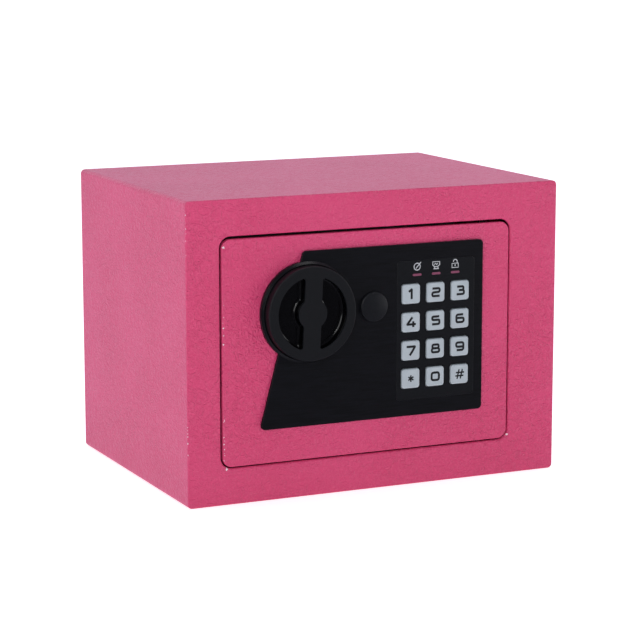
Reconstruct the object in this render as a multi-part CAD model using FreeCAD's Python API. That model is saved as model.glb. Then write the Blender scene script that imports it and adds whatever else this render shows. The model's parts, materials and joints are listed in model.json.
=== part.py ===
import FreeCAD
import Part
import math
import os

from FreeCAD import Vector

# A small electronic safe used as a money box: a sheet-steel cabinet, a flush door on hidden
# pivot pins, a keypad lock with a turning knob, two round bolts and an emergency key lock.
#
# Millimetres. +X is to the right of someone facing the door, +Y goes into the cabinet and +Z is
# up. The origin is at the centre of the bounding box, on the surface that the safe stands on.
# Depths (d, and every name ending in _D) are measured from the cabinet's front face, positive
# into the cabinet, so anything that stands proud of the front has a negative depth.
# At rest the door is closed, the bolts are drawn back and the solenoid holds its plunger in.

# ---------------------------------------------------------------- driving dimensions
WIDTH = 230.0
HEIGHT = 170.0
DEPTH = 170.0
KNOB_PROUD = 8.5
FRONT_Y = KNOB_PROUD - (DEPTH + KNOB_PROUD) / 2

# Cabinet sheet metal
SHELL_T = 1.2
FRAME_T = 2.0
BEND_R = 2.5
EDGE_SOFT = 0.6
OPEN_X0, OPEN_X1 = -95.2, 84.8
OPEN_Z0, OPEN_Z1 = 20.5, 149.5
OPEN_R = 6.5
ANCHOR_HOLE_R = 5.0
ANCHOR_SPACING = 120.0
ANCHOR_FLOOR_D = DEPTH / 2
ANCHOR_BACK_Z = HEIGHT / 2
MAT_T = 1.8

# Door plate, and the gaps around it
DOOR_T = 3.0
DOOR_X0, DOOR_X1 = OPEN_X0 + 1.0, OPEN_X1 - 1.0
DOOR_Z0, DOOR_Z1 = OPEN_Z0 + 0.8, OPEN_Z1 - 1.5
DOOR_R = 5.5

# Strips behind the opening that stop the door and catch the bolts
STOP_T = 1.5
STOP_LIP = 5.0
STOP_WELD = 14.0
STOP_STEP = (3.5, 5.0)
STOP_D = DOOR_T + 0.5
STOP_X1 = 50.0

# Hidden pivots
HINGE_X = DOOR_X1 - 15.0
HINGE_D = 6.0
PIVOT_R = 2.0
PIVOT_BORE_R = PIVOT_R + 0.08
BRACKET_HALF = 9.0
BRACKET_T = 1.5
SHELF_T = 2.0
SHELF_GAP = 1.5
SHELF_D = 12.5
LEAF_X0 = 61.5
LEAF_WEB_X1 = 66.0
LEAF_T = 1.5
EAR_X1 = HINGE_X + 4.5
EAR_D = 10.0
EAR_T = 2.0
EAR_INSET = 6.0

# Black control panel on the door
PANEL_T = 1.6
PANEL_X1 = 66.3
PANEL_Z0, PANEL_Z1 = 40.5, 139.0
PANEL_SLANT_X0, PANEL_SLANT_X1 = -72.4, -46.1
PANEL_R = 2.4
PANEL_BOSSES = ((-60.0, 50.0), (2.0, 50.0), (2.0, 131.0))
BOSS_R = 3.0
BOSS_BORE_R = 1.45

# Turning knob, in a collar on the panel
KNOB_X, KNOB_Z = -43.5, 104.9
COLLAR_R = 28.5
COLLAR_PROUD = 3.5
COLLAR_BEVEL = 1.35
KNOB_R = 26.5
KNOB_GAP = 0.4
KNOB_BACK_D = -PANEL_T - 0.3
KNOB_RING_R = 20.8
KNOB_FLOOR_D = -3.3
GRIP_HALF = 5.2
HUB_R = 8.6
GRIP_LEAN = 2.5
SPINDLE_R = 4.0
SPINDLE_HOLE_R = 4.3
CAM_D0, CAM_D1 = 5.0, 7.0

# Bolt work: the cam pin drives the carriage as a scotch yoke, close to straight over 60 degrees
THROW = 12.0
CAM_ARM = 12.0
CAM_REST_ANGLE = 30.0
CAM_PIN_R = 2.5
CARRIAGE_D0, CARRIAGE_D1 = 11.0, 13.0
CARRIAGE_X0, CARRIAGE_X1 = -58.0, -28.0
CARRIAGE_Z0, CARRIAGE_Z1 = 47.0, 125.0
ARM_Z0, ARM_Z1 = 84.0, 93.0
FINGER_X0, FINGER_X1 = -11.0, -5.0
FINGER_TOP = 97.5
STUD_X = -50.0
STUD_Z = (70.0, 91.5)
STUD_R = 3.0
BOLT_R = 6.0
BOLT_D = 12.0
BOLT_Z = (54.7, 115.0)
BOLT_X0, BOLT_X1 = -88.0, -52.0
RIVET_X = -55.0
RIVET_R = 1.5
GUIDE_X0, GUIDE_X1 = -77.5, -75.5

# Solenoid, which blocks the carriage with its plunger
PLUNGER_X, PLUNGER_D = -14.0, 12.0
PLUNGER_R = 2.0
PLUNGER_TIP_Z = 98.0
PLUNGER_TOP_Z = 130.0
PLUNGER_COLLAR_R = 5.5
PLUNGER_COLLAR_Z0, PLUNGER_COLLAR_Z1 = 108.3, 110.3
SOLENOID_HALF = 8.5
SOLENOID_Z0, SOLENOID_Z1 = 116.0, 134.0
SOLENOID_T = 1.5
SOLENOID_BACK_D = 20.5

# Emergency key lock behind its round cap
KEY_LOCK_X, KEY_LOCK_Z = -3.2, 105.1
CAP_R = 8.3
CAP_SKIRT_R = 7.0
BARREL_R = 5.0
BARREL_END_D = 14.3
PLUG_R = 3.0
OVERRIDE_CAM_D0, OVERRIDE_CAM_D1 = 15.0, 16.5
OVERRIDE_ARM = 13.5

# Keypad: bezel, keys, silicone sheet and board
BEZEL_X0, BEZEL_X1 = 11.3, 60.7
BEZEL_Z0, BEZEL_Z1 = 49.8, 129.5
BEZEL_PROUD = 1.8
SKIRT_X0, SKIRT_X1 = 12.3, 58.9
SKIRT_Z0, SKIRT_Z1 = 51.5, 127.8
SKIRT_T = 1.0
SKIRT_D = 3.4
KEY_X0, KEY_PITCH_X = 20.0, 15.6
KEY_Z0, KEY_PITCH_Z = 110.7, 16.17
KEY_NAMES = (("1", "2", "3"), ("4", "5", "6"), ("7", "8", "9"), ("star", "0", "hash"))
KEY_SIDE = 11.6
KEY_R = 1.6
KEY_PROUD = 2.9
KEY_HOLE_GAP = 0.2
KEY_FLANGE = 12.6
KEY_FLANGE_D0, KEY_FLANGE_D1 = 0.1, 0.9
DOME_D = 1.9
MEMBRANE_D = 2.6
KEYPAD_BOARD_T = 1.6
LENS_X0, LENS_PITCH, LENS_Z = 24.0, 12.1, 121.3
LENS_HALF_X, LENS_HALF_Z = 2.75, 0.65
KEYPAD_SCREWS = ((15.0, 53.6), (56.2, 53.6), (15.0, 125.3), (56.2, 125.3))

# Sheet-steel cover over the lock works, on the door's inside
COVER_X0, COVER_X1 = -80.5, 60.5
COVER_Z0, COVER_Z1 = 28.5, 140.5
COVER_D = 34.0
COVER_T = 1.0
COVER_POSTS = ((-74.5, 33.5), (56.4, 33.5), (-74.5, 135.5), (56.0, 136.0))
POST_R = 3.0
RESET_X, RESET_Z = 44.0, 102.0
RESET_R = 2.4

# Battery bay
BAY_X0, BAY_X1 = -13.0, 51.0
BAY_Z0, BAY_Z1 = 30.5, 86.5
BAY_FLOOR_D = 16.5
BAY_T = 1.5
CELL_R = 7.1
CELL_PITCH = 15.0
CELL_D = 25.0
CELL_LENGTH = 49.0
CELL_NUB = 1.0
CELL_COUNT = 4

# Lock circuit board
BOARD_X0, BOARD_X1 = 5.0, 52.0
BOARD_Z0, BOARD_Z1 = 96.0, 136.0
BOARD_D = 14.0
BOARD_T = 1.6
BOARD_PILLARS = ((8.5, 99.5), (8.5, 132.5), (48.5, 132.5))
LEAD_R = 0.8


# ---------------------------------------------------------------- shape helpers
def block(x0, x1, d0, d1, z0, z1):
    """A box between two depths."""
    return Part.makeBox(x1 - x0, d1 - d0, z1 - z0, Vector(x0, FRONT_Y + d0, z0))


def disc(x, z, radius, d0, d1):
    """A cylinder whose axis runs front to back."""
    return Part.makeCylinder(radius, d1 - d0, Vector(x, FRONT_Y + d0, z), Vector(0, 1, 0))


def post(x, d, radius, z0, z1):
    """A cylinder whose axis is upright."""
    return Part.makeCylinder(radius, z1 - z0, Vector(x, FRONT_Y + d, z0), Vector(0, 0, 1))


def bar(d, z, radius, x0, x1):
    """A cylinder whose axis runs left to right."""
    return Part.makeCylinder(radius, x1 - x0, Vector(x0, FRONT_Y + d, z), Vector(1, 0, 0))


def depth_edges(shape):
    """The straight edges that run front to back."""
    return [e for e in shape.Edges if e.Curve.TypeId == "Part::GeomLine" and abs(e.Curve.Direction.y) > 0.99]


def edges_at(shape, d):
    """The edges that lie wholly at one depth."""
    y = FRONT_Y + d
    return [e for e in shape.Edges if abs(e.BoundBox.YMin - y) < 1e-4 and abs(e.BoundBox.YMax - y) < 1e-4]


def plate(x0, x1, z0, z1, d0, d1, radius):
    """A flat plate with rounded corners."""
    blank = block(x0, x1, d0, d1, z0, z1)
    return blank.makeFillet(radius, depth_edges(blank))


def soften(shape, radius, *depths):
    """Rounds every edge that lies at the given depths."""
    found = []
    for d in depths:
        found += edges_at(shape, d)
    return shape.makeFillet(radius, found)


def prism(points, d0, d1):
    """A polygon of (x, z) points, extruded between two depths."""
    corners = [Vector(x, FRONT_Y + d0, z) for x, z in points]
    return Part.Face(Part.makePolygon(corners + corners[:1])).extrude(Vector(0, d1 - d0, 0))


def slot(x0, z0, x1, z1, radius, d0, d1):
    """A round-ended slot between two centres, along X or along Z."""
    ends = disc(x0, z0, radius, d0, d1).fuse(disc(x1, z1, radius, d0, d1))
    if x0 == x1:
        return ends.fuse(block(x0 - radius, x0 + radius, d0, d1, z0, z1)).removeSplitter()
    return ends.fuse(block(x0, x1, d0, d1, z0 - radius, z0 + radius)).removeSplitter()


def coil(x, d, z0, z1, radius, wire, turns):
    """A helical spring of round wire, standing upright. Its ends stay inside z0 and z1."""
    height = z1 - z0 - 2 * wire
    helix = Part.makeHelix(height / turns, height, radius)
    start = Part.Circle(Vector(radius, 0, 0), Vector(0, 1, 0), wire)
    spring = Part.Wire(helix.Edges).makePipeShell([Part.Wire(start.toShape())], True, True)
    spring.translate(Vector(x, FRONT_Y + d, z0 + wire))
    return spring


def lead(points, radius):
    """A thin wire lead: straight runs joined by tangent arcs. Points are (x, d, z)."""
    way = [Vector(x, FRONT_Y + d, z) for x, d, z in points]
    edges = []
    here = way[0]
    for before, corner, after in zip(way, way[1:], way[2:]):
        into = (corner - before).normalize()
        out = (after - corner).normalize()
        half_turn = into.getAngle(out) / 2
        bend = 0.45 * min((corner - before).Length, (after - corner).Length) / math.tan(half_turn)
        reach = bend * math.tan(half_turn)
        start = corner - into * reach
        end = corner + out * reach
        inward = (out - into).normalize()
        middle = corner + inward * (bend / math.cos(half_turn) - bend)
        edges.append(Part.LineSegment(here, start).toShape())
        edges.append(Part.Arc(start, middle, end).toShape())
        here = end
    edges.append(Part.LineSegment(here, way[-1]).toShape())
    ring = Part.Wire(Part.Circle(way[0], way[1] - way[0], radius).toShape())
    return Part.Wire(edges).makePipeShell([ring], True, True)


def together(shapes):
    """Several separate solids as one node."""
    return Part.makeCompound(shapes)


# ---------------------------------------------------------------- cabinet
def outer_shell():
    """Top, sides and floor, bent from one sheet, with two anchor holes in the floor."""
    d0, d1 = FRAME_T, DEPTH - SHELL_T
    half = WIDTH / 2
    outside = plate(-half, half, 0, HEIGHT, d0, d1, BEND_R)
    inside = plate(-half + SHELL_T, half - SHELL_T, SHELL_T, HEIGHT - SHELL_T, d0, d1, BEND_R - SHELL_T)
    shell = outside.cut(inside)
    for x in (-ANCHOR_SPACING / 2, ANCHOR_SPACING / 2):
        shell = shell.cut(post(x, ANCHOR_FLOOR_D, ANCHOR_HOLE_R, -1, SHELL_T + 1))
    return shell


def front_frame():
    """The cabinet's face, with the door opening."""
    half = WIDTH / 2
    frame = plate(-half, half, 0, HEIGHT, 0, FRAME_T, BEND_R)
    frame = frame.cut(plate(OPEN_X0, OPEN_X1, OPEN_Z0, OPEN_Z1, -1, FRAME_T + 1, OPEN_R))
    return soften(frame, EDGE_SOFT, 0)


def back_panel():
    """The cabinet's back, with two anchor holes."""
    half = WIDTH / 2
    panel = plate(-half, half, 0, HEIGHT, DEPTH - SHELL_T, DEPTH, BEND_R)
    panel = soften(panel, EDGE_SOFT, DEPTH)
    for x in (-ANCHOR_SPACING / 2, ANCHOR_SPACING / 2):
        panel = panel.cut(disc(x, ANCHOR_BACK_Z, ANCHOR_HOLE_R, DEPTH - 5, DEPTH + 1))
    return panel


def stop_strip(inner, outer, across0, across1, upright):
    """One joggled strip: a weld flange on the frame's back and a lip behind the door's edge.

    inner is the opening's edge, outer the same edge's direction away from the opening.
    """
    step0, step1 = (inner + outer * s for s in STOP_STEP)
    lip = inner - outer * STOP_LIP
    weld = inner + outer * STOP_WELD
    flange = sorted((step0, weld))
    ledge = sorted((lip, step1))
    if upright:
        welded = block(*flange, FRAME_T, STOP_D, across0, across1)
        return welded.fuse(block(*ledge, STOP_D, STOP_D + STOP_T, across0, across1)).removeSplitter()
    welded = block(across0, across1, FRAME_T, STOP_D, *flange)
    return welded.fuse(block(across0, across1, STOP_D, STOP_D + STOP_T, *ledge)).removeSplitter()


def door_stop():
    """Strips along the top, the bottom and the lock side of the opening."""
    left = stop_strip(OPEN_X0, -1, OPEN_Z0, OPEN_Z1, True)
    top = stop_strip(OPEN_Z1, 1, OPEN_X0 - STOP_WELD, STOP_X1, False)
    bottom = stop_strip(OPEN_Z0, -1, OPEN_X0 - STOP_WELD, STOP_X1, False)
    side = left.common(block(-WIDTH, WIDTH, 0, DEPTH, OPEN_Z0 + STOP_LIP, OPEN_Z1 - STOP_LIP))
    return together([side, top, bottom])


def shelf_heights():
    """(lower face, upper face) of the bottom and the top pivot shelf."""
    bottom = OPEN_Z0 - SHELF_GAP
    top = OPEN_Z1 + SHELF_GAP
    return (bottom - SHELF_T, bottom), (top, top + SHELF_T)


def hinge_brackets():
    """Two angles behind the frame that carry the pivot pins."""
    made = []
    x0, x1 = HINGE_X - BRACKET_HALF, HINGE_X + BRACKET_HALF
    for (z0, z1), outward in zip(shelf_heights(), (-1, 1)):
        foot = z0 if outward < 0 else z1
        flange = sorted((foot, foot + outward * 10))
        angle = block(x0, x1, FRAME_T, SHELF_D, z0, z1)
        angle = angle.fuse(block(x0, x1, FRAME_T, FRAME_T + BRACKET_T, *flange)).removeSplitter()
        made.append(angle.cut(post(HINGE_X, HINGE_D, PIVOT_BORE_R, z0 - 1, z1 + 1)))
    return together(made)


def floor_mat():
    """A loose felt mat with a hole over each floor anchor."""
    half = WIDTH / 2 - SHELL_T - 1.5
    corner_r = 3.0
    mat = Part.makeBox(2 * half, DEPTH - 14, MAT_T, Vector(-half, FRONT_Y + 8, SHELL_T))
    upright = [e for e in mat.Edges if abs(e.Curve.Direction.z) > 0.99]
    mat = mat.makeFillet(corner_r, upright)
    for x in (-ANCHOR_SPACING / 2, ANCHOR_SPACING / 2):
        mat = mat.cut(post(x, ANCHOR_FLOOR_D, ANCHOR_HOLE_R + 2, 0, SHELL_T + MAT_T + 1))
    return mat


# ---------------------------------------------------------------- door and its hinge
def keypad_cutout():
    """The hole in the door that the keypad's skirt passes through."""
    gap = 0.3
    return plate(SKIRT_X0 - gap, SKIRT_X1 + gap, SKIRT_Z0 - gap, SKIRT_Z1 + gap, -1, DOOR_T + 1, 1.5)


def door_plate():
    door = plate(DOOR_X0, DOOR_X1, DOOR_Z0, DOOR_Z1, 0, DOOR_T, DOOR_R)
    door = soften(door, EDGE_SOFT, 0)
    door = door.cut(keypad_cutout())
    door = door.cut(disc(KNOB_X, KNOB_Z, SPINDLE_HOLE_R, -1, DOOR_T + 1))
    door = door.cut(disc(KEY_LOCK_X, KEY_LOCK_Z, BARREL_R + 0.1, -1, DOOR_T + 1))
    for x, z in PANEL_BOSSES:
        door = door.cut(disc(x, z, BOSS_R + 0.2, -1, DOOR_T + 1))
    return door


def ear_heights():
    """(lower face, upper face) of the bottom and the top ear of the hinge leaf."""
    bottom = DOOR_Z0 + EAR_INSET
    top = DOOR_Z1 - EAR_INSET
    return (bottom, bottom + EAR_T), (top - EAR_T, top)


def hinge_leaf():
    """A folded strip welded to the door's back, with an ear at each end for a pivot pin."""
    (low, _), (_, high) = ear_heights()
    leaf = block(LEAF_X0, LEAF_WEB_X1, DOOR_T, DOOR_T + LEAF_T, low, high)
    for z0, z1 in ear_heights():
        ear = block(LEAF_X0, EAR_X1, DOOR_T, EAR_D, z0, z1)
        outer_corner = [
            e
            for e in ear.Edges
            if abs(e.Curve.Direction.z) > 0.99 and e.BoundBox.XMin > EAR_X1 - 0.1 and e.BoundBox.YMin > FRONT_Y + 9
        ]
        ear = ear.makeFillet(3.5, outer_corner)
        ear = ear.cut(post(HINGE_X, HINGE_D, PIVOT_R + 0.02, z0 - 1, z1 + 1))
        leaf = leaf.fuse(ear)
    return leaf.removeSplitter()


def hinge_pins():
    """One headed pin through each ear, turning in the shelf beyond it."""
    head_t, head_r, past = 1.0, 3.0, 1.5
    (low_ear, high_ear), (low_shelf, high_shelf) = ear_heights(), shelf_heights()
    lower = post(HINGE_X, HINGE_D, PIVOT_R, low_shelf[0] - past, low_ear[1])
    lower = lower.fuse(post(HINGE_X, HINGE_D, head_r, low_ear[1], low_ear[1] + head_t))
    upper = post(HINGE_X, HINGE_D, PIVOT_R, high_ear[0], high_shelf[1] + past)
    upper = upper.fuse(post(HINGE_X, HINGE_D, head_r, high_ear[0] - head_t, high_ear[0]))
    return together([lower, upper])


# ---------------------------------------------------------------- control panel
def control_panel():
    """Moulded face plate with a slanted side, the knob's collar and a window for the keypad."""
    outline = (
        (PANEL_SLANT_X0, PANEL_Z0),
        (PANEL_X1, PANEL_Z0),
        (PANEL_X1, PANEL_Z1),
        (PANEL_SLANT_X1, PANEL_Z1),
    )
    face = prism(outline, -PANEL_T, 0)
    face = face.makeFillet(PANEL_R, depth_edges(face))
    face = face.fuse(disc(KNOB_X, KNOB_Z, COLLAR_R, -PANEL_T, 0)).removeSplitter()
    face = soften(face, 0.35, -PANEL_T)
    collar = disc(KNOB_X, KNOB_Z, COLLAR_R, -COLLAR_PROUD, 0)
    collar = collar.makeChamfer(COLLAR_BEVEL, edges_at(collar, -COLLAR_PROUD))
    well = disc(KNOB_X, KNOB_Z, KNOB_R + KNOB_GAP, -COLLAR_PROUD - 1, -PANEL_T)
    panel = face.fuse(collar).cut(well)
    gap = 0.05
    window = plate(BEZEL_X0 - gap, BEZEL_X1 + gap, BEZEL_Z0 - gap, BEZEL_Z1 + gap, -PANEL_T - 1, 1, 2.0)
    panel = panel.cut(window)
    panel = panel.cut(disc(KNOB_X, KNOB_Z, SPINDLE_HOLE_R, -PANEL_T - 1, 1))
    panel = panel.cut(disc(KEY_LOCK_X, KEY_LOCK_Z, CAP_SKIRT_R + 0.2, -PANEL_T - 1, 1))
    for x, z in PANEL_BOSSES:
        panel = panel.fuse(disc(x, z, BOSS_R, 0, DOOR_T - 0.1))
        panel = panel.cut(disc(x, z, BOSS_BORE_R, -0.9, DOOR_T))
    return panel.removeSplitter()


def headed_screw(x, z, shank_r, shank_d0, seat_d, head_r, head_t):
    """A screw driven from inside: its head stands behind seat_d, with a cross recess."""
    screw = disc(x, z, shank_r, shank_d0, seat_d)
    head = soften(disc(x, z, head_r, seat_d, seat_d + head_t), head_t * 0.45, seat_d + head_t)
    screw = screw.fuse(head)
    reach, half, deep = head_r * 0.55, head_r * 0.13, head_t * 0.55
    top = seat_d + head_t
    screw = screw.cut(block(x - reach, x + reach, top - deep, top + 1, z - half, z + half))
    return screw.cut(block(x - half, x + half, top - deep, top + 1, z - reach, z + reach))


def panel_screws():
    """Flanged screws that hold the control panel through the door."""
    return together([headed_screw(x, z, BOSS_BORE_R - 0.05, -0.8, DOOR_T, 4.2, 1.3) for x, z in PANEL_BOSSES])


# ---------------------------------------------------------------- knob
def knob_recess():
    """The two D-shaped finger recesses, either side of the grip."""
    recess = disc(KNOB_X, KNOB_Z, KNOB_RING_R, -KNOB_PROUD - 1, KNOB_FLOOR_D)
    grip = block(
        KNOB_X - GRIP_HALF, KNOB_X + GRIP_HALF, -KNOB_PROUD - 2, 0, KNOB_Z - KNOB_R, KNOB_Z + KNOB_R
    )
    grip = grip.fuse(disc(KNOB_X, KNOB_Z, HUB_R, -KNOB_PROUD - 2, 0))
    halves = []
    for half in recess.cut(grip).Solids:
        half = half.makeFillet(1.3, depth_edges(half))
        halves.append(soften(half, 2.0, KNOB_FLOOR_D))
    return together(halves)


def lock_knob():
    """A dished disc: a rim and a cross grip with a round hub, all level at the front."""
    knob = disc(KNOB_X, KNOB_Z, KNOB_R, -KNOB_PROUD, KNOB_BACK_D)
    knob = soften(knob, 0.9, -KNOB_PROUD)
    knob = knob.cut(knob_recess())
    knob = knob.cut(disc(KNOB_X, KNOB_Z, SPINDLE_R + 0.02, -6.5, 0))
    knob.rotate(Vector(KNOB_X, 0, KNOB_Z), Vector(0, 1, 0), GRIP_LEAN)
    return knob


def square_rod(x, z, half, d0, d1):
    return block(x - half, x + half, d0, d1, z - half, z + half)


def knob_spindle():
    """Round shaft from the knob's hub, squared where the cam sits, with a clip groove."""
    spindle = disc(KNOB_X, KNOB_Z, SPINDLE_R, -6.4, CAM_D0)
    spindle = spindle.fuse(square_rod(KNOB_X, KNOB_Z, 2.8, CAM_D0, CAM_D1))
    spindle = spindle.fuse(disc(KNOB_X, KNOB_Z, 2.2, CAM_D1, CAM_D1 + 0.9))
    return spindle.fuse(disc(KNOB_X, KNOB_Z, 2.8, CAM_D1 + 0.9, CAM_D1 + 1.7))


def spindle_clip():
    """A spring clip in the spindle's groove, open on one side."""
    ring = disc(KNOB_X, KNOB_Z, 4.6, CAM_D1 + 0.05, CAM_D1 + 0.85)
    ring = ring.cut(disc(KNOB_X, KNOB_Z, 2.25, CAM_D1, CAM_D1 + 1))
    return ring.cut(block(KNOB_X - 1.6, KNOB_X + 1.6, CAM_D1, CAM_D1 + 1, KNOB_Z - 6, KNOB_Z))


def cam_pin_place():
    """(x, z) of the cam's drive pin at rest."""
    angle = math.radians(CAM_REST_ANGLE)
    return KNOB_X + CAM_ARM * math.sin(angle), KNOB_Z + CAM_ARM * math.cos(angle)


def knob_cam():
    """A crank plate on the spindle's square, with a drive pin for the bolt carriage."""
    hub_r, end_r = 7.5, 4.5
    upright = disc(KNOB_X, KNOB_Z, hub_r, CAM_D0, CAM_D1)
    upright = upright.fuse(disc(KNOB_X, KNOB_Z + CAM_ARM, end_r, CAM_D0, CAM_D1))
    upright = upright.fuse(block(KNOB_X - end_r, KNOB_X + end_r, CAM_D0, CAM_D1, KNOB_Z, KNOB_Z + CAM_ARM))
    upright.rotate(Vector(KNOB_X, 0, KNOB_Z), Vector(0, 1, 0), CAM_REST_ANGLE)
    pin_x, pin_z = cam_pin_place()
    cam = upright.fuse(disc(pin_x, pin_z, CAM_PIN_R, CAM_D1, CARRIAGE_D1 + 1.2))
    return cam.cut(square_rod(KNOB_X, KNOB_Z, 2.83, 0, CAM_D1 + 1)).removeSplitter()


# ---------------------------------------------------------------- bolt work
def bolt_carriage():
    """Sliding plate with the yoke slot, two guide slots and the finger that the plunger blocks."""
    outline = (
        (CARRIAGE_X0, CARRIAGE_Z0),
        (CARRIAGE_X1, CARRIAGE_Z0),
        (CARRIAGE_X1, ARM_Z0),
        (FINGER_X1, ARM_Z0),
        (FINGER_X1, FINGER_TOP),
        (FINGER_X1 - 2.0, FINGER_TOP),
        (FINGER_X0, FINGER_TOP - 4.0),
        (FINGER_X0, ARM_Z1),
        (CARRIAGE_X1, ARM_Z1),
        (CARRIAGE_X1, CARRIAGE_Z1),
        (CARRIAGE_X0, CARRIAGE_Z1),
    )
    carriage = prism(outline, CARRIAGE_D0, CARRIAGE_D1)
    pin_x, pin_z = cam_pin_place()
    highest = KNOB_Z + CAM_ARM
    yoke = slot(pin_x, pin_z - 0.4, pin_x, highest + 0.4, CAM_PIN_R + 0.2, CARRIAGE_D0 - 1, CARRIAGE_D1 + 1)
    carriage = carriage.cut(yoke)
    for z in STUD_Z:
        guide = slot(STUD_X, z, STUD_X + THROW, z, STUD_R + 0.15, CARRIAGE_D0 - 1, CARRIAGE_D1 + 1)
        carriage = carriage.cut(guide)
    for z in BOLT_Z:
        carriage = carriage.cut(disc(RIVET_X, z, RIVET_R + 0.02, CARRIAGE_D0 - 1, CARRIAGE_D1 + 1))
    return carriage


def lock_bolts():
    """Two round steel bolts, slotted over the carriage plate."""
    made = []
    for z in BOLT_Z:
        bolt = bar(BOLT_D, z, BOLT_R, BOLT_X0, BOLT_X1)
        tip = [e for e in bolt.Edges if e.BoundBox.XMax < BOLT_X0 + 0.1]
        bolt = bolt.makeChamfer(1.2, tip)
        gap = 0.03
        bolt = bolt.cut(
            block(CARRIAGE_X0 - 0.1, BOLT_X1 + 1, CARRIAGE_D0 - gap, CARRIAGE_D1 + gap, z - 7, z + 7)
        )
        made.append(bolt.cut(disc(RIVET_X, z, RIVET_R + 0.02, BOLT_D - 7, BOLT_D + 7)))
    return together(made)


def bolt_rivets():
    """A rivet across each bolt, through the carriage."""
    reach = BOLT_R - 0.6
    return together([disc(RIVET_X, z, RIVET_R, BOLT_D - reach, BOLT_D + reach) for z in BOLT_Z])


def carriage_studs():
    """Shoulder studs on the door that the carriage slides on."""
    made = []
    for z in STUD_Z:
        stud = disc(STUD_X, z, 4.5, DOOR_T, CARRIAGE_D0 - 0.1)
        stud = stud.fuse(disc(STUD_X, z, STUD_R, CARRIAGE_D0 - 0.1, CARRIAGE_D1 + 0.2))
        made.append(stud.fuse(disc(STUD_X, z, 5.0, CARRIAGE_D1 + 0.2, CARRIAGE_D1 + 1.6)))
    return together(made)


def bolt_guide():
    """An angle on the door's back that the bolts slide through."""
    z0, z1 = BOLT_Z[0] - 9, BOLT_Z[1] + 9
    guide = block(GUIDE_X0, GUIDE_X1, DOOR_T, 21, z0, z1)
    guide = guide.fuse(block(GUIDE_X0, GUIDE_X1 + 8, DOOR_T, DOOR_T + 2, z0, z1))
    for z in BOLT_Z:
        guide = guide.cut(bar(BOLT_D, z, BOLT_R + 0.08, GUIDE_X0 - 1, GUIDE_X1 + 1))
    return guide.removeSplitter()


# ---------------------------------------------------------------- solenoid
def solenoid_frame():
    """C-shaped steel yoke around the coil."""
    x0, x1 = PLUNGER_X - SOLENOID_HALF, PLUNGER_X + SOLENOID_HALF
    yoke = block(x0, x1, DOOR_T, SOLENOID_BACK_D, SOLENOID_Z0, SOLENOID_Z1)
    yoke = yoke.cut(
        block(
            x0 - 1,
            x1 + 1,
            DOOR_T + SOLENOID_T,
            SOLENOID_BACK_D + 1,
            SOLENOID_Z0 + SOLENOID_T,
            SOLENOID_Z1 - SOLENOID_T,
        )
    )
    return yoke.cut(post(PLUNGER_X, PLUNGER_D, PLUNGER_R + 0.3, SOLENOID_Z0 - 1, SOLENOID_Z0 + 4))


def solenoid_coil():
    """Wound bobbin between the yoke's arms, bored for the plunger."""
    z0, z1 = SOLENOID_Z0 + SOLENOID_T, SOLENOID_Z1 - SOLENOID_T
    flange_r, winding_r, flange_t = 7.3, 6.6, 1.0
    bobbin = post(PLUNGER_X, PLUNGER_D, flange_r, z0, z0 + flange_t)
    bobbin = bobbin.fuse(post(PLUNGER_X, PLUNGER_D, flange_r, z1 - flange_t, z1))
    bobbin = bobbin.fuse(post(PLUNGER_X, PLUNGER_D, winding_r, z0, z1))
    return bobbin.cut(post(PLUNGER_X, PLUNGER_D, PLUNGER_R + 0.15, z0 - 1, z1 - 1))


def solenoid_plunger():
    """Round rod with a collar, which the return spring and the emergency cam bear on."""
    rod = post(PLUNGER_X, PLUNGER_D, PLUNGER_R, PLUNGER_TIP_Z, PLUNGER_TOP_Z)
    return rod.fuse(post(PLUNGER_X, PLUNGER_D, PLUNGER_COLLAR_R, PLUNGER_COLLAR_Z0, PLUNGER_COLLAR_Z1))


def plunger_spring():
    """Return spring between the collar and the solenoid, squeezed while the plunger is in."""
    return coil(PLUNGER_X, PLUNGER_D, PLUNGER_COLLAR_Z1 + 0.05, SOLENOID_Z0 - 0.05, 3.2, 0.35, 4)


# ---------------------------------------------------------------- emergency key lock
def override_barrel():
    """Lock housing with a thin head on the door's front."""
    barrel = disc(KEY_LOCK_X, KEY_LOCK_Z, 6.0, -1.0, 0)
    barrel = barrel.fuse(disc(KEY_LOCK_X, KEY_LOCK_Z, BARREL_R, 0, BARREL_END_D))
    return barrel.cut(disc(KEY_LOCK_X, KEY_LOCK_Z, PLUG_R + 0.06, -2, BARREL_END_D + 1))


def override_nut():
    """Thin hexagon nut behind the door."""
    across = 7.0 / math.cos(math.pi / 6)
    points = [
        (KEY_LOCK_X + across * math.cos(k * math.pi / 3), KEY_LOCK_Z + across * math.sin(k * math.pi / 3))
        for k in range(6)
    ]
    nut = prism(points, DOOR_T, DOOR_T + 3)
    return nut.cut(disc(KEY_LOCK_X, KEY_LOCK_Z, BARREL_R + 0.02, DOOR_T - 1, DOOR_T + 4))


def override_plug():
    """The part that the key turns, with its keyway and a square tail."""
    plug = disc(KEY_LOCK_X, KEY_LOCK_Z, PLUG_R, -1.0, BARREL_END_D + 0.1)
    plug = plug.fuse(square_rod(KEY_LOCK_X, KEY_LOCK_Z, 1.9, BARREL_END_D + 0.1, OVERRIDE_CAM_D1))
    keyway = block(KEY_LOCK_X - 0.7, KEY_LOCK_X + 0.7, -2, 8, KEY_LOCK_Z - 2.3, KEY_LOCK_Z + 2.3)
    return plug.cut(keyway).cut(disc(KEY_LOCK_X, KEY_LOCK_Z, 1.05, 12, OVERRIDE_CAM_D1 + 1))


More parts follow.
